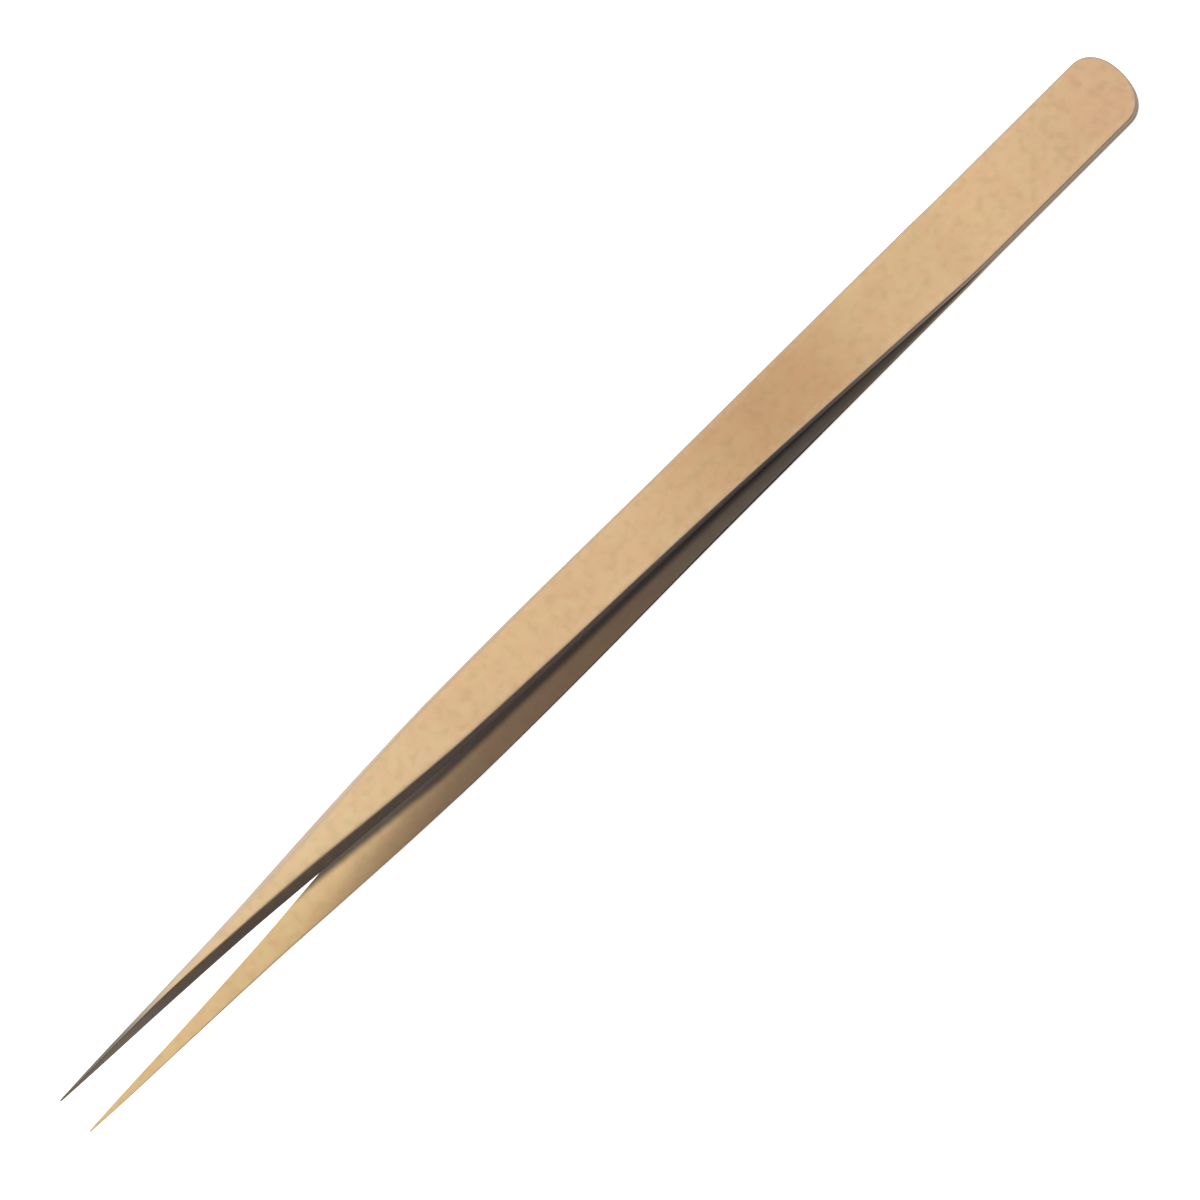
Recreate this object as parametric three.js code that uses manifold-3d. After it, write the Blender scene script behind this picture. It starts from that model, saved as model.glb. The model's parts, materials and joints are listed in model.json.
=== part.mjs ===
// Stamp tongs: two long spring leaves, spot welded inner face to inner face at the butt, that bow
// apart and run out to fine points. The tongs lie on the lower leaf, with the points towards -X, the
// butt towards +X and the leaves' width along Y. Millimetres, +Z up.
//
// A station is a distance from the butt end along the tongs. A leaf is one strip that flexes; it is
// made here as a heel and an arm, parted by a hair at the station its bending is centred on.

import * as THREE from "three";
import { mergeVertices } from "three/addons/utils/BufferGeometryUtils.js";
import Module from "manifold-3d";

const wasm = await Module();
wasm.setup();

// ---- Driving dimensions ----

const LENGTH = 155;

// Butt end: a superellipse across the strip, cut square by a short flat at the very end.
const BUTT_HALF_WIDTH = 4.4;
const BUTT_ROUND_LENGTH = 3.2;
const BUTT_ROUND_POWER = 2.2;
const BUTT_FLAT_LEAD = 0.1;

// Half width of the inner face, [station, mm]: straight butt, slight waist, shoulder, slender point.
const EDGE_HALF_WIDTH = [
  [27, BUTT_HALF_WIDTH],
  [50, 3.86],
  [66, 3.58],
  [85, 3.45],
  [98, 3.2],
  [107, 2.8],
  [120, 1.93],
  [128, 1.35],
  [140, 0.76],
  [150, 0.36],
  [LENGTH, 0.1],
];

// Half width of the outer face: the flanks are ground to a bevel that closes to a ridge at the point.
const CROWN_HALF_WIDTH = [
  [27, 4.3],
  [50, 3.7],
  [66, 3.34],
  [85, 3.06],
  [98, 2.73],
  [107, 2.17],
  [120, 1.03],
  [128, 0.6],
  [142, 0.07],
  [LENGTH, 0.02],
];
const EDGE_BREAK = 0.1; // least difference between the inner and the outer half width
const BEVEL_STEEPNESS = 1.6; // height of the bevel over its width
const BEVEL_HIGHEST_SHARE = 0.8; // of the thickness

const THICKNESS = [
  [30, 0.87],
  [60, 1.08],
  [95, 1.12],
  [110, 1.27],
  [138, 1.27],
  [149, 0.65],
  [LENGTH, 0.14],
];

// Half of the gap between the inner faces: none along the weld, then a heel bend, then a long bow.
const WELD_GAP = 0.05;
const HEEL_BEND_START = 22;
const HEEL_BEND_END = 26;
const HEEL_SLOPE = 0.098;
const TIP_SLOPE = 0.02;

// Where the flexing of a leaf is centred, and the gap left there between heel and arm.
const FLEX_STATION = 38;
const FLEX_GAP = 0.3;

// Spot welds, [station, across], and the faint dimple that each electrode leaves outside.
const WELD_SPOTS = { centre: [2.8, 0], front: [4.1, -2.3], rear: [4.1, 2.3] };
const WELD_RADIUS = 0.85;
const WELD_HEIGHT = 0.5;
const WELD_CLEARANCE = 0.05;
const DIMPLE_DEPTH = 0.05;
const ROUND_SEGMENTS = 24;

const STATION_STEP = 2.6;
const BUTT_ROUND_STEPS = 7;

// ---- Curves along the leaf ----

// Value at a station on a smooth curve through [station, value] points that never overshoots them.
function along(points, station) {
  const last = points.length - 1;
  if (station <= points[0][0]) return points[0][1];
  if (station >= points[last][0]) return points[last][1];
  const slopes = points.slice(1).map((p, i) => (p[1] - points[i][1]) / (p[0] - points[i][0]));
  const tangents = points.map((_, i) => {
    const before = slopes[i - 1] ?? slopes[0];
    const after = slopes[i] ?? slopes[last - 1];
    return before * after > 0 ? (2 * before * after) / (before + after) : 0;
  });
  const k = points.findIndex((p) => p[0] > station) - 1;
  const [start, from] = points[k];
  const [end, to] = points[k + 1];
  const span = end - start;
  const t = (station - start) / span;
  const bend = t * t * (3 - 2 * t);
  const leaving = t * (1 - t) * (1 - t) * tangents[k] * span;
  const arriving = t * t * (t - 1) * tangents[k + 1] * span;
  return from + (to - from) * bend + leaving + arriving;
}

function edgeHalfWidth(station) {
  if (station >= BUTT_ROUND_LENGTH) return along(EDGE_HALF_WIDTH, station);
  const ahead = 1 - (station + BUTT_FLAT_LEAD) / (BUTT_ROUND_LENGTH + BUTT_FLAT_LEAD);
  return BUTT_HALF_WIDTH * (1 - ahead ** BUTT_ROUND_POWER) ** (1 / BUTT_ROUND_POWER);
}

function crownHalfWidth(station) {
  const edge = edgeHalfWidth(station);
  const broken = Math.max(edge - EDGE_BREAK, edge / 4);
  return Math.min(broken, along(CROWN_HALF_WIDTH, station));
}

const thickness = (station) => along(THICKNESS, station);

// Slope of the inner face away from the middle plane.
function gapSlope(station) {
  const bend = (station - HEEL_BEND_START) / (HEEL_BEND_END - HEEL_BEND_START);
  if (bend <= 1) return HEEL_SLOPE * Math.max(0, bend);
  const bow = (station - HEEL_BEND_END) / (LENGTH - HEEL_BEND_END);
  return HEEL_SLOPE + (TIP_SLOPE - HEEL_SLOPE) * bow;
}

// Distance of the inner face from the middle plane: the slope above, summed from the butt.
function halfGap(station) {
  const inBend = Math.min(Math.max(station, HEEL_BEND_START), HEEL_BEND_END);
  const inBow = Math.max(station, HEEL_BEND_END);
  const bendRise = ((inBend - HEEL_BEND_START) * gapSlope(inBend)) / 2;
  const bowRise = ((inBow - HEEL_BEND_END) * (HEEL_SLOPE + gapSlope(inBow))) / 2;
  return WELD_GAP / 2 + bendRise + bowRise;
}

// Point of the upper leaf's middle, at a height above its inner face: [x, z].
function leafPoint(station, height) {
  const tilt = Math.atan(gapSlope(station));
  return [-station + height * Math.sin(tilt), halfGap(station) + height * Math.cos(tilt)];
}

// ---- Leaves ----

const BOTTOM = 0; // the inner face's edge
const LAND = 1; // top of the upright part of the flank
const CROWN = 2; // the outer face's edge

// The six corners of a leaf's cross-section, as a plain hexagon: side on x, level on y.
function sectionShape() {
  const corners = [[-1, BOTTOM], [1, BOTTOM], [1.5, LAND], [1, CROWN], [-1, CROWN], [-1.5, LAND]];
  return new THREE.Shape(corners.map(([side, level]) => new THREE.Vector2(side, level)));
}

function sectionCorner(station, level) {
  const edge = edgeHalfWidth(station);
  const crown = crownHalfWidth(station);
  const full = thickness(station);
  const bevel = Math.min((edge - crown) * BEVEL_STEEPNESS, full * BEVEL_HIGHEST_SHARE);
  if (level === BOTTOM) return [edge, 0];
  if (level === LAND) return [edge, full - bevel];
  return [crown, full];
}

// A length of leaf through the given stations. face is 1 for the upper leaf, -1 for the lower one.
function leafGeometry(stations, face) {
  const steps = stations.length - 1;
  const geometry = new THREE.ExtrudeGeometry(sectionShape(), { depth: steps, steps, bevelEnabled: false });
  const position = geometry.attributes.position;
  for (let i = 0; i < position.count; i += 1) {
    const station = stations[Math.round(position.getZ(i))];
    const [across, height] = sectionCorner(station, Math.round(position.getY(i)));
    const [x, z] = leafPoint(station, height);
    const side = Math.sign(position.getX(i));
    position.setXYZ(i, x, -face * side * across, face * z);
  }
  return geometry;
}

// Stations from one to another at about STATION_STEP, both ends included.
function evenStations(from, to) {
  const count = Math.round((to - from) / STATION_STEP);
  return Array.from({ length: count + 1 }, (_, i) => from + ((to - from) * i) / count);
}

function buttStations() {
  const turn = Math.PI / 2 / BUTT_ROUND_STEPS;
  return Array.from({ length: BUTT_ROUND_STEPS }, (_, i) => BUTT_ROUND_LENGTH * (1 - Math.cos(turn * i)));
}

const heelStations = [
  ...buttStations(),
  ...evenStations(BUTT_ROUND_LENGTH, HEEL_BEND_START),
  ...evenStations(HEEL_BEND_START, FLEX_STATION - FLEX_GAP / 2).slice(1),
];
const armStations = evenStations(FLEX_STATION + FLEX_GAP / 2, LENGTH);

// ---- Joining and cutting ----

function toSolid(geometry) {
  const bare = geometry.clone();
  bare.deleteAttribute("normal");
  bare.deleteAttribute("uv");
  const merged = mergeVertices(bare);
  const vertProperties = new Float32Array(merged.attributes.position.array);
  const triVerts = new Uint32Array(merged.index.array);
  return new wasm.Manifold(new wasm.Mesh({ numProp: 3, vertProperties, triVerts }));
}

function toGeometry(solid) {
  const mesh = solid.getMesh();
  const geometry = new THREE.BufferGeometry();
  geometry.setAttribute("position", new THREE.BufferAttribute(mesh.vertProperties, 3));
  geometry.setIndex(new THREE.BufferAttribute(mesh.triVerts, 1));
  geometry.computeVertexNormals();
  return geometry;
}

// A turned profile, [radius, height] points, standing upright at a weld spot.
function turnedAt([station, across], profile) {
  const points = profile.map(([radius, height]) => new THREE.Vector2(radius, height));
  const geometry = new THREE.LatheGeometry(points, ROUND_SEGMENTS);
  return geometry.rotateX(Math.PI / 2).translate(-station, across, 0);
}

// ---- Spot welds ----

function nuggetGeometry(spot) {
  const half = WELD_HEIGHT / 2;
  const waist = WELD_RADIUS * 0.8;
  return turnedAt(spot, [[0, -half], [waist, -half], [WELD_RADIUS, 0], [waist, half], [0, half]]);
}

// The room that a nugget takes up in the two heels.
function pocketGeometry(spot) {
  const half = WELD_HEIGHT / 2 + WELD_CLEARANCE;
  const radius = WELD_RADIUS + WELD_CLEARANCE;
  return turnedAt(spot, [[0, -half], [radius, -half], [radius, half], [0, half]]);
}

// The shallow dimple in the outer face over a weld.
function dimpleGeometry(spot, face) {
  const surface = WELD_GAP / 2 + thickness(0);
  const above = surface + 1;
  const rim = WELD_RADIUS;
  const floor = WELD_RADIUS * 0.6;
  const upward = [
    [0, surface - DIMPLE_DEPTH],
    [floor, surface - DIMPLE_DEPTH * 0.8],
    [rim, surface],
    [rim, above],
    [0, above],
  ];
  const profile = face > 0 ? upward : upward.map(([radius, height]) => [radius, -height]).reverse();
  return turnedAt(spot, profile);
}

function heelGeometry(face) {
  let heel = toSolid(leafGeometry(heelStations, face));
  for (const spot of Object.values(WELD_SPOTS)) {
    heel = heel.subtract(toSolid(pocketGeometry(spot)));
    heel = heel.subtract(toSolid(dimpleGeometry(spot, face)));
  }
  return toGeometry(heel);
}

// ---- Finishes ----

const satinGold = () => new THREE.MeshStandardMaterial({ color: 0xdab98c, roughness: 0.42, metalness: 1 });
const weldedSteel = () => new THREE.MeshStandardMaterial({ color: 0x8c8276, roughness: 0.6, metalness: 1 });

function named(name, geometry, material) {
  const mesh = new THREE.Mesh(geometry, material);
  mesh.name = name;
  return mesh;
}

// ---- Assembly ----

const tongs = new THREE.Group();
tongs.add(named("upper_leaf_heel", heelGeometry(1), satinGold()));
tongs.add(named("upper_leaf_arm", leafGeometry(armStations, 1), satinGold()));
tongs.add(named("lower_leaf_heel", heelGeometry(-1), satinGold()));
tongs.add(named("lower_leaf_arm", leafGeometry(armStations, -1), satinGold()));
for (const [place, spot] of Object.entries(WELD_SPOTS)) {
  tongs.add(named(`weld_nugget_${place}`, nuggetGeometry(spot), weldedSteel()));
}

// Laid on a table: the tongs tip until the lower leaf's butt edge and its bow are level.
const [buttX, buttDrop] = leafPoint(0, thickness(0));
const restingSlope = Math.max(
  ...armStations.map((station) => {
    const [x, drop] = leafPoint(station, thickness(station));
    return (drop - buttDrop) / (buttX - x);
  }),
);
tongs.rotation.y = Math.atan(restingSlope);

// The origin is the middle of the tongs' footprint, on the table.
const group = new THREE.Group();
group.add(tongs);
group.updateMatrixWorld(true);
const bounds = new THREE.Box3().setFromObject(group, true);
const middle = bounds.getCenter(new THREE.Vector3());
tongs.position.set(-middle.x, -middle.y, -bounds.min.z);

export default group;
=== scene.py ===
"""Stamp tongs: the looks of two long spring leaves of satin gold plated steel, spot welded at the butt.

A leaf is described in its own plan, in millimetres: station (distance from the butt end), across (from
the middle line) and height (above the leaf's inner face). Everything is placed in the frame in metres.
"""

import json
import math

import bmesh
import bpy
from mathutils import Matrix, Vector


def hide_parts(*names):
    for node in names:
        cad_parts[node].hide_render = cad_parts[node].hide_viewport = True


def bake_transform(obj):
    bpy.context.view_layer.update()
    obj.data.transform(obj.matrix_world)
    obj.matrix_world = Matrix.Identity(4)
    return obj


MM = 0.001

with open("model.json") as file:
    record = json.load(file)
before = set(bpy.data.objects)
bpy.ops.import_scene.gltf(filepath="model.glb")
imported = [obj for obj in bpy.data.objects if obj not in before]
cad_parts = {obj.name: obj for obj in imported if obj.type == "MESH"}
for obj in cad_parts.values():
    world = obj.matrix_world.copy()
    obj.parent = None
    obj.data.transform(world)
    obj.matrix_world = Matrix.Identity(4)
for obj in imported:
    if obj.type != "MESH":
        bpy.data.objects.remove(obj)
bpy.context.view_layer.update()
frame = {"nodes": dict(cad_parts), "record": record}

# ---- Driving dimensions of a leaf, the same as the frame's, in millimetres ----

LENGTH = 155.0
BUTT_HALF_WIDTH = 4.4
BUTT_ROUND_LENGTH = 3.2
BUTT_ROUND_POWER = 2.2
TIP_RADIUS = 0.1

EDGE_HALF_WIDTH = [
    (27.0, BUTT_HALF_WIDTH),
    (50.0, 3.86),
    (66.0, 3.58),
    (85.0, 3.45),
    (98.0, 3.2),
    (107.0, 2.8),
    (120.0, 1.93),
    (128.0, 1.35),
    (140.0, 0.76),
    (150.0, 0.36),
    (LENGTH, TIP_RADIUS),
]
CROWN_HALF_WIDTH = [
    (27.0, 4.3),
    (50.0, 3.7),
    (66.0, 3.34),
    (85.0, 3.06),
    (98.0, 2.73),
    (107.0, 2.17),
    (120.0, 1.03),
    (128.0, 0.6),
    (142.0, 0.07),
    (LENGTH, 0.02),
]
THICKNESS = [
    (30.0, 0.87),
    (60.0, 1.08),
    (95.0, 1.12),
    (110.0, 1.27),
    (138.0, 1.27),
    (149.0, 0.65),
    (LENGTH, 0.14),
]
EDGE_BREAK = 0.1
BEVEL_STEEPNESS = 1.6
BEVEL_HIGHEST_SHARE = 0.8  # of the leaf's thickness

WELD_GAP = 0.05
HEEL_BEND_START = 22.0
HEEL_BEND_END = 26.0
HEEL_SLOPE = 0.098
TIP_SLOPE = 0.02

WELD_SPOTS = [(2.8, 0.0), (4.1, -2.3), (4.1, 2.3)]
WELD_RADIUS = 0.85
DIMPLE_DEPTH = 0.03

BUTT_FACE_STATION = 12.0  # where the record's mount on the butt's outer face lies

# ---- Fineness of a leaf's surface ----

INNER_FILLET = 0.07
LAND_FILLET = 0.12
CROWN_FILLET = 1.2
FACE_ROLL = 0.03  # how far the outer face rolls down towards its two sides
BUTT_STEPS = 26
TIP_STEPS = 6
WELD_REGION = 6.5
WELD_REGION_STEP = 0.22
LEAF_STEP = 0.7
OUTER_COLUMNS = 42
INNER_COLUMNS = 20
FILLET_STEPS = 6
SUPPORT = 0.05  # distance from a fillet to the face column that keeps the face flat
LONGEST_FILLET = 0.45  # share of a straight stretch that a fillet may take
MERGE_DISTANCE = 5e-8  # metres
NO_WIDTH = 1e-9  # a face narrower than this is a point


# ---- Curves along a leaf ----


def along(points, station):
    """Value at a station on a smooth curve through (station, value) points that never overshoots them."""
    last = len(points) - 1
    if station <= points[0][0]:
        return points[0][1]
    if station >= points[last][0]:
        return points[last][1]
    slopes = [(b[1] - a[1]) / (b[0] - a[0]) for a, b in zip(points, points[1:])]

    def tangent(i):
        before = slopes[max(i - 1, 0)]
        after = slopes[min(i, last - 1)]
        return 2 * before * after / (before + after) if before * after > 0 else 0.0

    k = next(i for i, p in enumerate(points) if p[0] > station) - 1
    (start, low), (end, high) = points[k], points[k + 1]
    span = end - start
    t = (station - start) / span
    bend = t * t * (3 - 2 * t)
    leaving = t * (1 - t) ** 2 * tangent(k) * span
    arriving = t * t * (t - 1) * tangent(k + 1) * span
    return low + (high - low) * bend + leaving + arriving


def gap_slope(station):
    """Slope of a leaf's inner face away from the middle plane."""
    bend = (station - HEEL_BEND_START) / (HEEL_BEND_END - HEEL_BEND_START)
    if bend <= 1:
        return HEEL_SLOPE * max(0.0, bend)
    bow = (station - HEEL_BEND_END) / (LENGTH - HEEL_BEND_END)
    return HEEL_SLOPE + (TIP_SLOPE - HEEL_SLOPE) * bow


def half_gap(station):
    """Distance of a leaf's inner face from the middle plane."""
    in_bend = min(max(station, HEEL_BEND_START), HEEL_BEND_END)
    in_bow = max(station, HEEL_BEND_END)
    bend_rise = (in_bend - HEEL_BEND_START) * gap_slope(in_bend) / 2
    bow_rise = (in_bow - HEEL_BEND_END) * (HEEL_SLOPE + gap_slope(in_bow)) / 2
    return WELD_GAP / 2 + bend_rise + bow_rise


# ---- The tongs' place in the frame, read from the mount on the butt's outer face ----


def tongs_placement():
    """Matrix from the tongs' own axes, in millimetres, to the frame, in metres."""
    mount = next(m for m in frame["record"]["mounts"] if m["name"] == "upper_butt_face")
    normal = Vector(mount["axis"])
    pitch = math.atan2(normal.x, normal.z)
    turned = Matrix.Rotation(pitch, 4, "Y") @ Matrix.Scale(MM, 4)
    height = WELD_GAP / 2 + THICKNESS[0][1]
    on_face = Vector((-BUTT_FACE_STATION, 0.0, height))
    shift = Vector(mount["pos_m"]) - turned @ on_face
    return Matrix.Translation(shift) @ turned


PLACEMENT = tongs_placement()


def leaf_place(station, across, height, face):
    """A point of a leaf's plan in the frame. face is 1 for the upper leaf, -1 for the lower one."""
    tilt = math.atan(gap_slope(station))
    x = -station + height * math.sin(tilt)
    z = half_gap(station) + height * math.cos(tilt)
    return PLACEMENT @ Vector((x, across, face * z))


# ---- Leaves ----


def half_outline():
    """(station, half width) from the middle of the butt end, along one side, to the middle of the point."""
    outline = []
    for i in range(BUTT_STEPS):
        turn = math.pi / 2 * i / BUTT_STEPS
        ahead = math.cos(turn) ** (2 / BUTT_ROUND_POWER)
        width = BUTT_HALF_WIDTH * math.sin(turn) ** (2 / BUTT_ROUND_POWER)
        outline.append((BUTT_ROUND_LENGTH * (1 - ahead), width))
    station = BUTT_ROUND_LENGTH
    side_end = LENGTH - TIP_RADIUS
    while station < side_end - LEAF_STEP / 2:
        outline.append((station, along(EDGE_HALF_WIDTH, station)))
        station += WELD_REGION_STEP if station < WELD_REGION else LEAF_STEP
    for i in range(TIP_STEPS + 1):
        turn = math.pi / 2 * i / TIP_STEPS
        outline.append((side_end + TIP_RADIUS * math.sin(turn), TIP_RADIUS * math.cos(turn)))
    return outline


def inward_normals(outline):
    """Unit vectors (along, across) that point from each outline point into the leaf."""
    normals = []
    for i, (station, width) in enumerate(outline):
        if i == 0:
            normals.append((1.0, 0.0))
        elif i == len(outline) - 1:
            normals.append((-1.0, 0.0))
        else:
            ds = outline[i + 1][0] - outline[i - 1][0]
            dw = outline[i + 1][1] - outline[i - 1][1]
            length = math.hypot(ds, dw)
            normals.append((dw / length, -ds / length))
    return normals


def fillet(before, corner, after, radius):
    """Points of a rounded corner between two straight stretches, each with its share of the turn."""
    into = Vector(before) - Vector(corner)
    out = Vector(after) - Vector(corner)
    start = Vector(corner) + into.normalized() * min(radius, LONGEST_FILLET * into.length)
    end = Vector(corner) + out.normalized() * min(radius, LONGEST_FILLET * out.length)
    points = []
    for i in range(FILLET_STEPS + 1):
        t = i / FILLET_STEPS
        point = start * (1 - t) ** 2 + Vector(corner) * 2 * t * (1 - t) + end * t * t
        points.append((point.x, point.y, t))
    return points


def masks(flank=0.0, corner=0.0, inner=0.0, weld=0.0):
    """How far a point belongs to the flank, to a corner, to the inner face and to a weld mark."""
    return {"flank": flank, "corner": corner, "inner": inner, "weld": weld}


def flank_profile(station, edge):
    """The flank from the inner face to the outer one, as (inset, height, masks) points.

    With it come the height of the outer face's edge and how much higher the middle of that face is.
    """
    crown = min(max(edge - EDGE_BREAK, edge / 4), along(CROWN_HALF_WIDTH, station))
    reach = max(edge, TIP_RADIUS)
    inset = max(edge - crown, 0.75 * TIP_RADIUS)
    roll = FACE_ROLL * min(1.0, crown / 2)
    full = along(THICKNESS, station) - roll
    bevel = min(inset * BEVEL_STEEPNESS, full * BEVEL_HIGHEST_SHARE)
    land = full - bevel
    crown_room = max(reach - inset, 0.3 * TIP_RADIUS)
    inner_corner = fillet((0.8 * reach, 0), (0, 0), (0, land), INNER_FILLET)
    mid_bevel = (inset / 2, (land + full) / 2)
    land_corner = fillet((0, 0.5 * land), (0, land), mid_bevel, LAND_FILLET)
    crown_corner = fillet(mid_bevel, (inset, full), (inset + crown_room, full), CROWN_FILLET)
    profile = [(x, h, masks(t, math.sin(math.pi * t), inner=1 - t)) for x, h, t in inner_corner]
    profile += [(x, h, masks(1.0)) for x, h, _ in land_corner]
    profile += [(x, h, masks(1 - t, math.sin(math.pi * t))) for x, h, t in crown_corner]
    return profile, full, roll


def face_columns(half, count):
    """Positions across a face between its two fillets, close to them at both ends."""
    support = min(SUPPORT, 0.2 * half)
    inner = half - support
    return [inner * (1 - 2 * i / (count - 1)) for i in range(count)]


def weld_mark(station, across):
    """Share, 0 to 1, of the shallow electrode marks left over the spot welds."""
    mark = 0.0
    for weld_station, weld_across in WELD_SPOTS:
        r = math.hypot(station - weld_station, across - weld_across) / WELD_RADIUS
        mark = max(mark, max(0.0, 1 - r * r) ** 1.5)
    return mark


def ring(outline_point, normal):
    """One closed loop round a leaf: (station, across, height, masks) points."""
    station, edge = outline_point
    profile, full, roll = flank_profile(station, edge)
    right = [
        (station + normal[0] * inset, edge + normal[1] * inset, height, mask)
        for inset, height, mask in profile
    ]
    crown_station, crown = right[-1][0], right[-1][1]
    foot_station, foot = right[0][0], right[0][1]
    loop = list(right)
    for across in face_columns(crown, OUTER_COLUMNS):
        share = across / crown if crown > NO_WIDTH else 0.0
        weld = weld_mark(crown_station, across)
        height = full + roll * (1 - share * share) - DIMPLE_DEPTH * weld
        loop.append((crown_station, across, height, masks(weld=weld)))
    loop += [(s, -across, height, mask) for s, across, height, mask in reversed(right)]
    for across in face_columns(foot, INNER_COLUMNS):
        loop.append((foot_station, -across, 0.0, masks(inner=1.0)))
    return loop


def build_leaf(name, face, strip_offset):
    """A whole leaf as one mesh. Each vertex keeps its masks and its place on the flat strip."""
    outline = half_outline()
    loops = [ring(point, normal) for point, normal in zip(outline, inward_normals(outline))]
    bm = bmesh.new()
    mask_layers = {mask_name: bm.verts.layers.float.new(mask_name) for mask_name in masks()}
    strip_layer = bm.verts.layers.float_vector.new("strip")
    rows = []
    for loop in loops:
        row = []
        for station, across, height, mask in loop:
            vert = bm.verts.new(leaf_place(station, across, height, face))
            for mask_name, layer in mask_layers.items():
                vert[layer] = mask[mask_name]
            vert[strip_layer] = (station, across, height + strip_offset)
            row.append(vert)
        rows.append(row)
    for row, following in zip(rows, rows[1:]):
        for j in range(len(row)):
            k = (j + 1) % len(row)
            bm.faces.new((row[j], row[k], following[k], following[j]))
    bmesh.ops.remove_doubles(bm, verts=bm.verts, dist=MERGE_DISTANCE)
    bmesh.ops.recalc_face_normals(bm, faces=bm.faces)
    mesh = bpy.data.meshes.new(name)
    bm.to_mesh(mesh)
    bm.free()
    mesh.shade_smooth()
    leaf = bpy.data.objects.new(name, mesh)
    bpy.context.scene.collection.objects.link(leaf)
    return leaf


# ---- Shader building blocks ----


class Tree:
    """Short ways to add and join nodes in one node tree."""

    def __init__(self, tree):
        self.tree = tree

    def add(self, kind, **settings):
        node = self.tree.nodes.new(kind)
        for key, value in settings.items():
            setattr(node, key, value)
        return node

    def feed(self, socket, source):
        """source is a socket to link from, or a plain value."""
        if isinstance(source, bpy.types.NodeSocket):
            self.tree.links.new(source, socket)
        else:
            socket.default_value = source

    def noise(self, vector, scale, detail=2.0, roughness=0.5, distortion=0.0):
        node = self.add("ShaderNodeTexNoise")
        self.feed(node.inputs["Vector"], vector)
        self.feed(node.inputs["Scale"], scale)
        node.inputs["Detail"].default_value = detail
        node.inputs["Roughness"].default_value = roughness
        node.inputs["Distortion"].default_value = distortion
        return node.outputs["Fac"]

    def math(self, operation, a, b=0.0):
        node = self.add("ShaderNodeMath", operation=operation)
        self.feed(node.inputs[0], a)
        self.feed(node.inputs[1], b)
        return node.outputs[0]

    def remap(self, value, low, high, to_low=0.0, to_high=1.0):
        node = self.add("ShaderNodeMapRange", interpolation_type="SMOOTHSTEP")
        for socket, source in zip(node.inputs, (value, low, high, to_low, to_high)):
            self.feed(socket, source)
        return node.outputs[0]

    def stretch(self, vector, scale):
        node = self.add("ShaderNodeVectorMath", operation="MULTIPLY")
        self.feed(node.inputs[0], vector)
        node.inputs[1].default_value = scale
        return node.outputs[0]

    def mix(self, share, first, second, blend="MIX"):
        node = self.add("ShaderNodeMix", data_type="RGBA", blend_type=blend)
        self.feed(node.inputs["Factor"], share)
        self.feed(node.inputs[6], first)
        self.feed(node.inputs[7], second)
        return node.outputs[2]

    def tint(self, share, colour, tint):
        return self.mix(share, colour, tint, blend="MULTIPLY")


def shader_group(name, inputs, outputs):
    """An empty shader node group with named sockets: (group, its tree, input sockets, output node)."""
    group = bpy.data.node_groups.new(name, "ShaderNodeTree")
    for socket, (kind, value) in inputs.items():
        made = group.interface.new_socket(socket, in_out="INPUT", socket_type=kind)
        if value is not None:
            made.default_value = value
    for socket, kind in outputs.items():
        group.interface.new_socket(socket, in_out="OUTPUT", socket_type=kind)
    tree = Tree(group)
    sources = tree.add("NodeGroupInput").outputs
    sink = tree.add("NodeGroupOutput")
    return group, tree, sources, sink


VALUE = "NodeSocketFloat"
VECTOR = "NodeSocketVector"


def mottle_group():
    """Soft patches and small freckles in a plated finish, in the units of the vector."""
    group, tree, sources, sink = shader_group(
        "plating_mottle",
        {"Vector": (VECTOR, None), "Patch Scale": (VALUE, 0.6), "Freckle Scale": (VALUE, 2.0)},
        {"Patch": VALUE, "Freckle": VALUE},
    )
    patch = tree.noise(sources["Vector"], sources["Patch Scale"], detail=3.0, distortion=0.4)
    freckle = tree.noise(sources["Vector"], sources["Freckle Scale"], detail=1.0, roughness=0.5)
    tree.feed(sink.inputs["Patch"], tree.remap(patch, 0.36, 0.64))
    tree.feed(sink.inputs["Freckle"], tree.remap(freckle, 0.44, 0.74))
    return group


def grain_group():
    """Fine grain drawn out along the strip, with a matt blasted grain over it."""
    group, tree, sources, sink = shader_group(
        "drawn_grain",
        {"Vector": (VECTOR, None), "Draw Scale": (VALUE, 12.0), "Blast Scale": (VALUE, 14.0)},
        {"Height": VALUE},
    )
    drawn_out = tree.stretch(sources["Vector"], (0.06, 1.0, 1.0))
    streak = tree.noise(drawn_out, sources["Draw Scale"], detail=3.0, roughness=0.55)
    blast = tree.noise(sources["Vector"], sources["Blast Scale"], detail=2.0, roughness=0.6)
    height = tree.math("ADD", tree.math("MULTIPLY", streak, 0.5), tree.math("MULTIPLY", blast, 0.5))
    tree.feed(sink.inputs["Height"], height)
    return group


def edge_wear_group():
    """Where handling has rubbed an edge bright: the corner mask, broken up along its length."""
    group, tree, sources, sink = shader_group(
        "edge_wear",
        {"Vector": (VECTOR, None), "Corner": (VALUE, 0.0), "Amount": (VALUE, 0.5)},
        {"Wear": VALUE},
    )
    broken = tree.remap(tree.noise(sources["Vector"], 1.1, detail=4.0, roughness=0.65), 0.38, 0.62)
    worn = tree.math("MULTIPLY", tree.remap(sources["Corner"], 0.35, 0.95), broken)
    tree.feed(sink.inputs["Wear"], tree.math("MULTIPLY", worn, sources["Amount"]))
    return group


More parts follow.
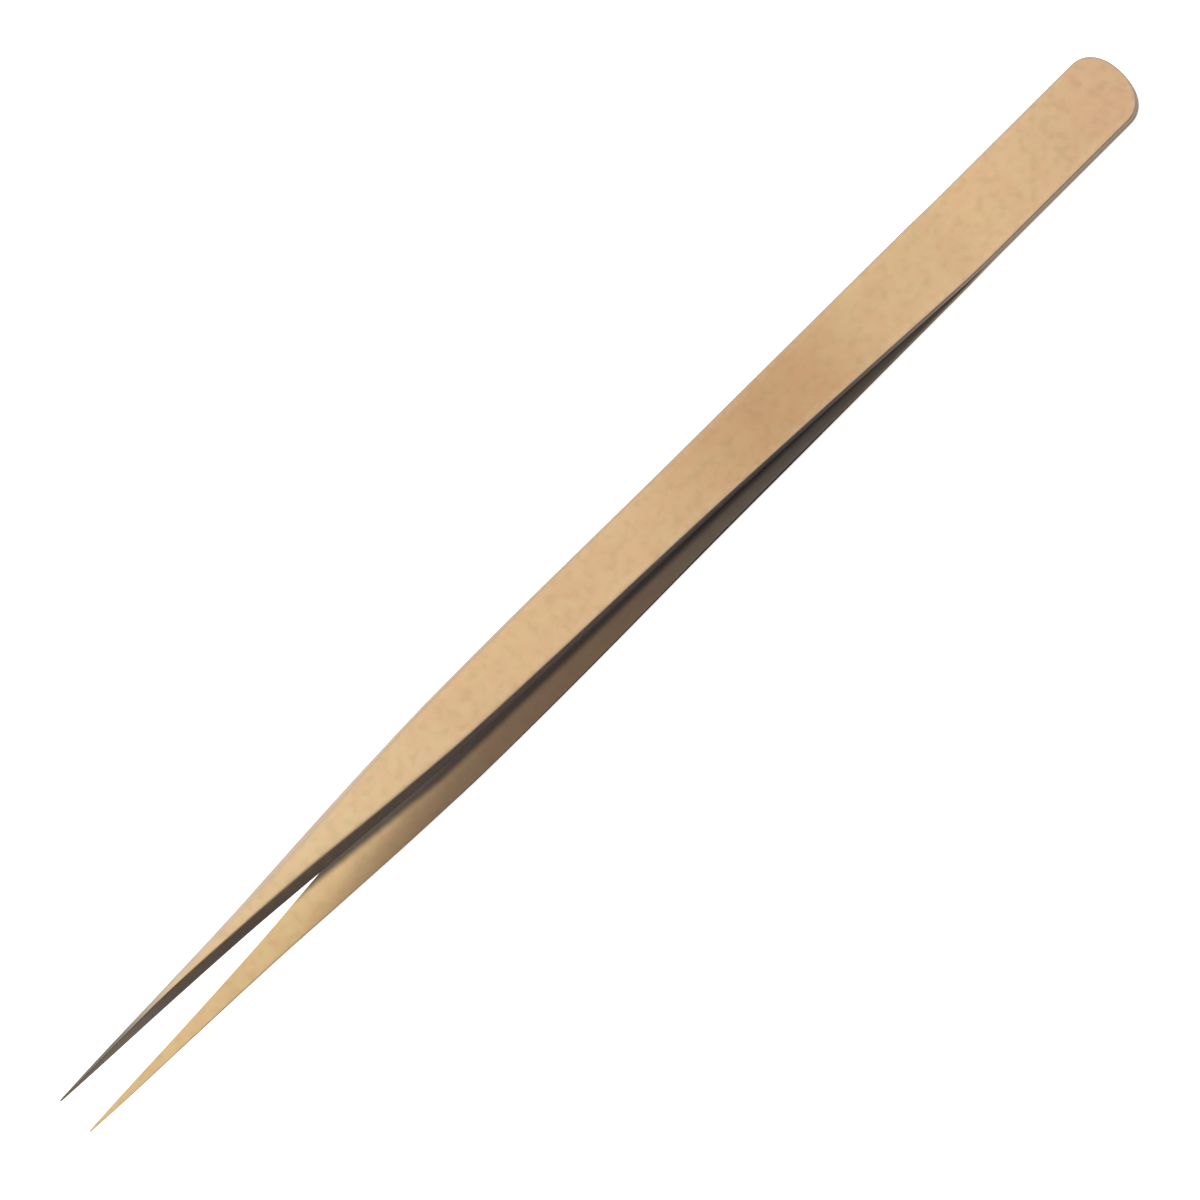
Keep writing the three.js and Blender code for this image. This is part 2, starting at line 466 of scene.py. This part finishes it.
def smudge_group():
    """Broad, faint clouding of the polish where fingers hold the leaves."""
    group, tree, sources, sink = shader_group(
        "finger_smudge", {"Vector": (VECTOR, None), "Amount": (VALUE, 0.5)}, {"Smudge": VALUE}
    )
    cloud = tree.noise(sources["Vector"], 0.16, detail=4.0, roughness=0.6, distortion=0.8)
    smudge = tree.remap(cloud, 0.42, 0.68)
    tree.feed(sink.inputs["Smudge"], tree.math("MULTIPLY", smudge, sources["Amount"]))
    return group


GROUPS = {
    "mottle": mottle_group(),
    "grain": grain_group(),
    "wear": edge_wear_group(),
    "smudge": smudge_group(),
}


def place_group(tree, name, **values):
    """One of GROUPS in a material's tree, its sockets fed from values whose names have _ for a space."""
    node = tree.add("ShaderNodeGroup", node_tree=GROUPS[name])
    for key, value in values.items():
        tree.feed(node.inputs[key.replace("_", " ")], value)
    return node


def start_material(name):
    """A new material: (material, its tree, its shader)."""
    material = bpy.data.materials.new(name)
    material.use_nodes = True
    tree = Tree(material.node_tree)
    return material, tree, material.node_tree.nodes["Principled BSDF"]


def attribute(tree, name, output):
    """An output of one of the values that each vertex of a leaf keeps."""
    return tree.add("ShaderNodeAttribute", attribute_name=name).outputs[output]


# ---- Materials ----

GOLD = (0.566, 0.393, 0.217, 1.0)
GOLD_POINT = (0.590, 0.438, 0.250, 1.0)
# Painted shade for the middle stretch of the outer face.
GOLD_SHADED_MIDDLE = (0.470, 0.300, 0.157, 1.0)
GOLD_HEATED = (0.495, 0.320, 0.190, 1.0)
GOLD_RUBBED = (0.68, 0.54, 0.36, 1.0)
PINK_TINT = (1.0, 0.945, 0.97, 1.0)
OLIVE_TINT = (0.91, 0.95, 0.89, 1.0)
# Painted shade between the leaves: a dull tint, and a dark colour that deepens towards the butt.
INNER_SHADE_TINT = (0.90, 0.87, 0.79, 1.0)
SHADE_BETWEEN_LEAVES = (0.31, 0.215, 0.14, 1.0)
SHADE_BETWEEN_LEAVES_AT_HEEL = (0.31, 0.28, 0.25, 1.0)
# Painted shadow: the other leaf's shade and dark reflection on an inner face.
SHADOW_BAND_DARK = (0.065, 0.055, 0.049, 1.0)
GROUND = (0.47, 0.35, 0.25, 1.0)
GROUND_POINT = (0.66, 0.54, 0.38, 1.0)
# Painted shade on one side of the point.
POINT_SIDE_SHADE = (0.12, 0.106, 0.092, 1.0)
WELD_GREY = (0.30, 0.27, 0.24, 1.0)
WELD_BLUE = (0.17, 0.18, 0.22, 1.0)

# The painted shadow band between the leaves ends at the outer one of two lines, across = start + slope *
# station.
SHADOW_BAND_BORDERS = [(-4.64, 0.041), (-12.48, 0.1173)]
SHADE_SLANT = 7.0  # how many millimetres the painted shade reaches back for each one across the leaf
SHADE_SHARE = 0.87
SHADOW_BAND_SHARE = 0.93
HEATED_AT_BUTT = 0.55
HEATED_AT_WELDS = 0.9
SMOOTHEST = 0.37
ROUGHEST = 0.42
SMUDGE_ROUGHENS = 0.06
FLANK_ROUGHENS = 0.05
INNER_SMOOTHS = 0.07
SHADED_ZONE_ROUGHENS = 0.25
BUMP_STRENGTH = 0.15
BUMP_HEIGHT = 0.02 * MM


def satin_gold():
    """Gold plate with a fine matt grain, a little duller on the ground flanks.

    Between the leaves it carries painted shade that deepens towards the butt, and a painted shadow
    band along one side, where the other leaf's shade and dark reflection fall.
    """
    material, tree, shader = start_material("satin_gold_plate")
    strip = attribute(tree, "strip", "Vector")
    flank = attribute(tree, "flank", "Fac")
    corner = attribute(tree, "corner", "Fac")
    inner = attribute(tree, "inner", "Fac")
    weld = attribute(tree, "weld", "Fac")
    mottle = place_group(tree, "mottle", Vector=strip, Patch_Scale=0.5, Freckle_Scale=0.9)
    grain = place_group(tree, "grain", Vector=strip)
    wear = place_group(tree, "wear", Vector=strip, Corner=corner, Amount=0.15)
    smudge = place_group(tree, "smudge", Vector=strip, Amount=0.6)
    place = tree.add("ShaderNodeSeparateXYZ")
    tree.feed(place.inputs[0], strip)
    station = place.outputs["X"]
    across = place.outputs["Y"]

    # The plate's own colour, paler to the point and darker round the welds, with painted shade in the
    # middle stretch.
    gold = tree.mix(tree.remap(station, 90.0, 118.0), GOLD, GOLD_POINT)
    middle_shade_from = tree.remap(station, 34.0, 48.0)
    middle_shade_to = tree.remap(station, 52.0, 74.0, 1.0, 0.0)
    gold = tree.mix(tree.math("MULTIPLY", middle_shade_from, middle_shade_to), gold, GOLD_SHADED_MIDDLE)
    near_butt = tree.remap(station, 3.0, 22.0, HEATED_AT_BUTT, 0.0)
    on_weld = tree.math("MULTIPLY", weld, HEATED_AT_WELDS)
    gold = tree.mix(tree.math("MAXIMUM", near_butt, on_weld), gold, GOLD_HEATED)

    # The inner face: painted shade, deeper towards the butt, and a painted shadow band along one side.
    gold = tree.tint(inner, gold, INNER_SHADE_TINT)
    slanted = tree.math("ADD", station, tree.math("MULTIPLY", across, SHADE_SLANT))
    between_shade = tree.math("MULTIPLY", inner, tree.remap(slanted, 82.0, 123.0, SHADE_SHARE, 0.0))
    shade_between_colour = tree.mix(tree.remap(station, 48.0, 85.0), SHADE_BETWEEN_LEAVES_AT_HEEL, SHADE_BETWEEN_LEAVES)
    gold = tree.mix(between_shade, gold, shade_between_colour)
    borders = []
    for start, slope in SHADOW_BAND_BORDERS:
        borders.append(tree.math("ADD", tree.math("MULTIPLY", station, slope), start))
    shadow_band_border = tree.math("MAXIMUM", *borders)
    past_border = tree.math("SUBTRACT", across, shadow_band_border)
    in_shadow_band = tree.remap(past_border, -0.55, 0.35, 0.0, SHADOW_BAND_SHARE)
    gold = tree.mix(tree.math("MULTIPLY", in_shadow_band, inner), gold, SHADOW_BAND_DARK)

    gold = tree.tint(mottle.outputs["Patch"], gold, PINK_TINT)
    gold = tree.tint(tree.math("MULTIPLY", mottle.outputs["Freckle"], 0.5), gold, OLIVE_TINT)

    # The ground flanks, painted shade on one side of the point and the rubbed edges.
    on_flank = tree.remap(flank, 0.45, 1.0)
    at_point = tree.remap(station, 137.0, 147.0)
    gold = tree.mix(on_flank, gold, tree.mix(at_point, GROUND, GROUND_POINT))
    outside = tree.math("SUBTRACT", 1.0, inner)
    shaded_side = tree.math("MULTIPLY", tree.remap(across, -0.1, 0.06), outside)
    gold = tree.mix(tree.math("MULTIPLY", at_point, shaded_side), gold, POINT_SIDE_SHADE)
    gold = tree.mix(wear.outputs["Wear"], gold, GOLD_RUBBED)
    tree.feed(shader.inputs["Base Color"], gold)

    shader.inputs["Metallic"].default_value = 1.0
    roughness = tree.remap(mottle.outputs["Freckle"], 0.0, 1.0, SMOOTHEST, ROUGHEST)
    smudged = tree.math("MULTIPLY", smudge.outputs["Smudge"], SMUDGE_ROUGHENS)
    roughness = tree.math("ADD", roughness, smudged)
    roughness = tree.math("ADD", roughness, tree.math("MULTIPLY", on_flank, FLANK_ROUGHENS))
    roughness = tree.math("SUBTRACT", roughness, tree.math("MULTIPLY", inner, INNER_SMOOTHS))
    roughness = tree.math("ADD", roughness, tree.math("MULTIPLY", between_shade, SHADED_ZONE_ROUGHENS))
    tree.feed(shader.inputs["Roughness"], roughness)

    bump = tree.add("ShaderNodeBump")
    bump.inputs["Strength"].default_value = BUMP_STRENGTH
    bump.inputs["Distance"].default_value = BUMP_HEIGHT
    pits = tree.math("MULTIPLY", mottle.outputs["Freckle"], 0.2)
    tree.feed(bump.inputs["Height"], tree.math("SUBTRACT", grain.outputs["Height"], pits))
    tree.feed(shader.inputs["Normal"], bump.outputs["Normal"])
    return material


def weld_steel():
    """The fused metal of the spot welds: grey, blued by heat in patches."""
    material, tree, shader = start_material("fused_weld_steel")
    place = tree.add("ShaderNodeTexCoord").outputs["Object"]
    in_mm = tree.stretch(place, (1 / MM, 1 / MM, 1 / MM))
    mottle = place_group(tree, "mottle", Vector=in_mm, Patch_Scale=1.6, Freckle_Scale=6.0)
    colour = tree.mix(mottle.outputs["Patch"], WELD_GREY, WELD_BLUE)
    tree.feed(shader.inputs["Base Color"], colour)
    shader.inputs["Metallic"].default_value = 1.0
    tree.feed(shader.inputs["Roughness"], tree.remap(mottle.outputs["Freckle"], 0.0, 1.0, 0.45, 0.65))
    return material


TABLE = (0.93, 0.93, 0.93, 1.0)
TABLE_CLOUD = (0.95, 0.95, 0.95, 1.0)
# Painted reflections: colours on the table that only reflected rays see.
REFLECTED_DARK = (0.12, 0.13, 0.19, 1.0)
REFLECTED_AT_POINTS = (0.38, 0.40, 0.48, 1.0)
REFLECTED_PALE = (0.8, 0.8, 0.85, 1.0)
REFLECTED_BEHIND = (0.9, 0.9, 0.9, 1.0)
AT_BUTT_SHARE = 0.67
PALE_GLOW = 0.7  # share of the table's glow that the painted pale reflections have
TABLE_GLOW = 0.7


def plain_floor():
    """An evenly lit pale table. Reflected rays see painted reflections on it: a dark patch, with paler
    glowing ones round it.
    """
    material, tree, shader = start_material("pale_floor")
    place = tree.add("ShaderNodeTexCoord").outputs["Object"]
    cloud = tree.noise(place, 3.0, detail=3.0)
    pale = tree.mix(cloud, TABLE, TABLE_CLOUD)
    position = tree.add("ShaderNodeSeparateXYZ")
    tree.feed(position.inputs[0], place)
    x = position.outputs["X"]
    y = position.outputs["Y"]
    past_far_side = tree.remap(y, 9 * MM, 15 * MM)
    short_of_points = tree.remap(x, -68 * MM, -60 * MM)
    behind = tree.math("MULTIPLY", past_far_side, short_of_points)
    at_butt = tree.remap(x, 22 * MM, 66 * MM, 0.0, AT_BUTT_SHARE)
    at_points = tree.remap(x, -73 * MM, -50 * MM, 1.0, 0.0)
    reflected = tree.mix(at_points, REFLECTED_DARK, REFLECTED_AT_POINTS)
    past_near_edge = tree.remap(y, -4.2 * MM, -3.2 * MM)
    point_half = tree.remap(x, -35 * MM, -20 * MM, 1.0, 0.0)
    under_points = tree.math("MULTIPLY", past_near_edge, point_half)
    reflected_pale_patch = tree.math("MAXIMUM", at_butt, under_points)
    reflected = tree.mix(reflected_pale_patch, reflected, REFLECTED_PALE)
    reflected = tree.mix(behind, reflected, REFLECTED_BEHIND)
    seen = tree.add("ShaderNodeLightPath").outputs["Is Camera Ray"]
    tree.feed(shader.inputs["Base Color"], tree.mix(seen, reflected, pale))
    shader.inputs["Roughness"].default_value = 0.9
    shader.inputs["Specular IOR Level"].default_value = 0.0
    glow = tree.math("MAXIMUM", behind, tree.math("MULTIPLY", reflected_pale_patch, PALE_GLOW))
    tree.feed(shader.inputs["Emission Color"], tree.math("MAXIMUM", seen, glow))
    shader.inputs["Emission Strength"].default_value = TABLE_GLOW
    return material


# ---- Camera, floor and light ----

VIEW_TILT = math.radians(16.5)  # round the long axis, towards the near side
VIEW_LEAN = -0.019  # towards the points, as a slope
AXIS_ANGLE = math.radians(44.89)  # of the long axis in the view, points down and to the left
VIEW_WIDTH = 125.8 * MM
AIM_STATION = 77.8
AIM_ASIDE = 0.48 * MM
LENS = 1500.0  # so long that the far leaf is not drawn smaller than the near one
SENSOR = 36.0
NEAREST_SEEN = 0.01
FARTHEST_SEEN = 20.0
FLOOR_HALF_SIDE = 2.0


def add_camera():
    """A long lens that looks down on the near side of the tongs, which lie from corner to corner."""
    to_camera = (PLACEMENT.to_3x3() @ Vector((VIEW_LEAN, -math.tan(VIEW_TILT), 1.0))).normalized()
    to_points = PLACEMENT.to_3x3() @ Vector((-1.0, 0.0, 0.0))
    long_way = (to_points - to_camera * to_points.dot(to_camera)).normalized()
    near_way = to_camera.cross(long_way)
    right = -math.cos(AXIS_ANGLE) * long_way + math.sin(AXIS_ANGLE) * near_way
    down = math.sin(AXIS_ANGLE) * long_way + math.cos(AXIS_ANGLE) * near_way
    aim = PLACEMENT @ Vector((-AIM_STATION, 0.0, 0.0)) + near_way * AIM_ASIDE
    distance = VIEW_WIDTH * LENS / SENSOR
    camera = bpy.data.objects.new("camera", bpy.data.cameras.new("camera"))
    camera.data.lens = LENS
    camera.data.sensor_width = SENSOR
    camera.data.clip_start = NEAREST_SEEN
    camera.data.clip_end = FARTHEST_SEEN
    axes = Matrix((right, -down, to_camera)).transposed().to_4x4()
    camera.matrix_world = Matrix.Translation(aim + to_camera * distance) @ axes
    bpy.context.scene.collection.objects.link(camera)
    bpy.context.scene.camera = camera


def add_floor():
    half = FLOOR_HALF_SIDE
    mesh = bpy.data.meshes.new("floor")
    corners = [(-half, -half, 0), (half, -half, 0), (half, half, 0), (-half, half, 0)]
    mesh.from_pydata(corners, [], [(0, 1, 2, 3)])
    floor = bpy.data.objects.new("floor", mesh)
    floor.data.materials.append(plain_floor())
    bpy.context.scene.collection.objects.link(floor)


def add_softbox(name, place, size, radiance):
    """A square light at place, facing the tongs, of the given radiance."""
    light = bpy.data.lights.new(name, "AREA")
    light.shape = "SQUARE"
    light.size = size
    light.energy = radiance * math.pi * size * size
    holder = bpy.data.objects.new(name, light)
    holder.location = place
    holder.rotation_euler = (-Vector(place)).to_track_quat("-Z", "Y").to_euler()
    bpy.context.scene.collection.objects.link(holder)


def add_dome():
    """A soft dome, bright overhead and behind the tongs, with a dark patch on the near side.

    The camera sees it as a plain pale backdrop.
    """
    world = bpy.data.worlds.new("studio_dome")
    world.use_nodes = True
    tree = Tree(world.node_tree)
    background = world.node_tree.nodes["Background"]
    background.inputs["Color"].default_value = (1.0, 1.0, 1.0, 1.0)
    sky = tree.add("ShaderNodeSeparateXYZ")
    tree.feed(sky.inputs[0], tree.add("ShaderNodeTexCoord").outputs["Generated"])
    overhead = tree.remap(sky.outputs["Z"], 0.0, 0.9, 0.5, 1.2)
    near_side = tree.remap(sky.outputs["Y"], -0.75, -0.15, 0.12, 1.0)
    sideways = tree.remap(tree.math("ABSOLUTE", sky.outputs["X"]), 0.55, 0.8, 0.0, 1.0)
    near_side = tree.math("MAXIMUM", near_side, sideways)
    far_side = tree.remap(sky.outputs["Y"], 0.4, 0.8, 0.0, 1.2)
    dome = tree.math("MAXIMUM", tree.math("MULTIPLY", overhead, near_side), far_side)
    seen = tree.add("ShaderNodeLightPath").outputs["Is Camera Ray"]
    strength = tree.math("ADD", dome, tree.math("MULTIPLY", seen, tree.math("SUBTRACT", 1.0, dome)))
    tree.feed(background.inputs["Strength"], strength)
    bpy.context.scene.world = world


add_camera()
add_floor()
add_dome()
add_softbox("overhead_softbox", place=(-0.1, 0.5, 1.2), size=0.8, radiance=0.3)
bpy.context.scene.view_settings.view_transform = "Standard"

# ---- The tongs ----

LOWER_OFFSET = 400.0  # gives the lower leaf patches and freckles of its own

gold = satin_gold()
for side, face, offset in (("upper", 1, 0.0), ("lower", -1, LOWER_OFFSET)):
    leaf = build_leaf(f"{side}_leaf", face, offset)
    leaf.data.materials.append(gold)
    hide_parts(f"{side}_leaf_heel", f"{side}_leaf_arm")
    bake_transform(leaf)

steel = weld_steel()
for name, node in frame["nodes"].items():
    if name.startswith("weld_nugget"):
        node.data.materials.clear()
        node.data.materials.append(steel)
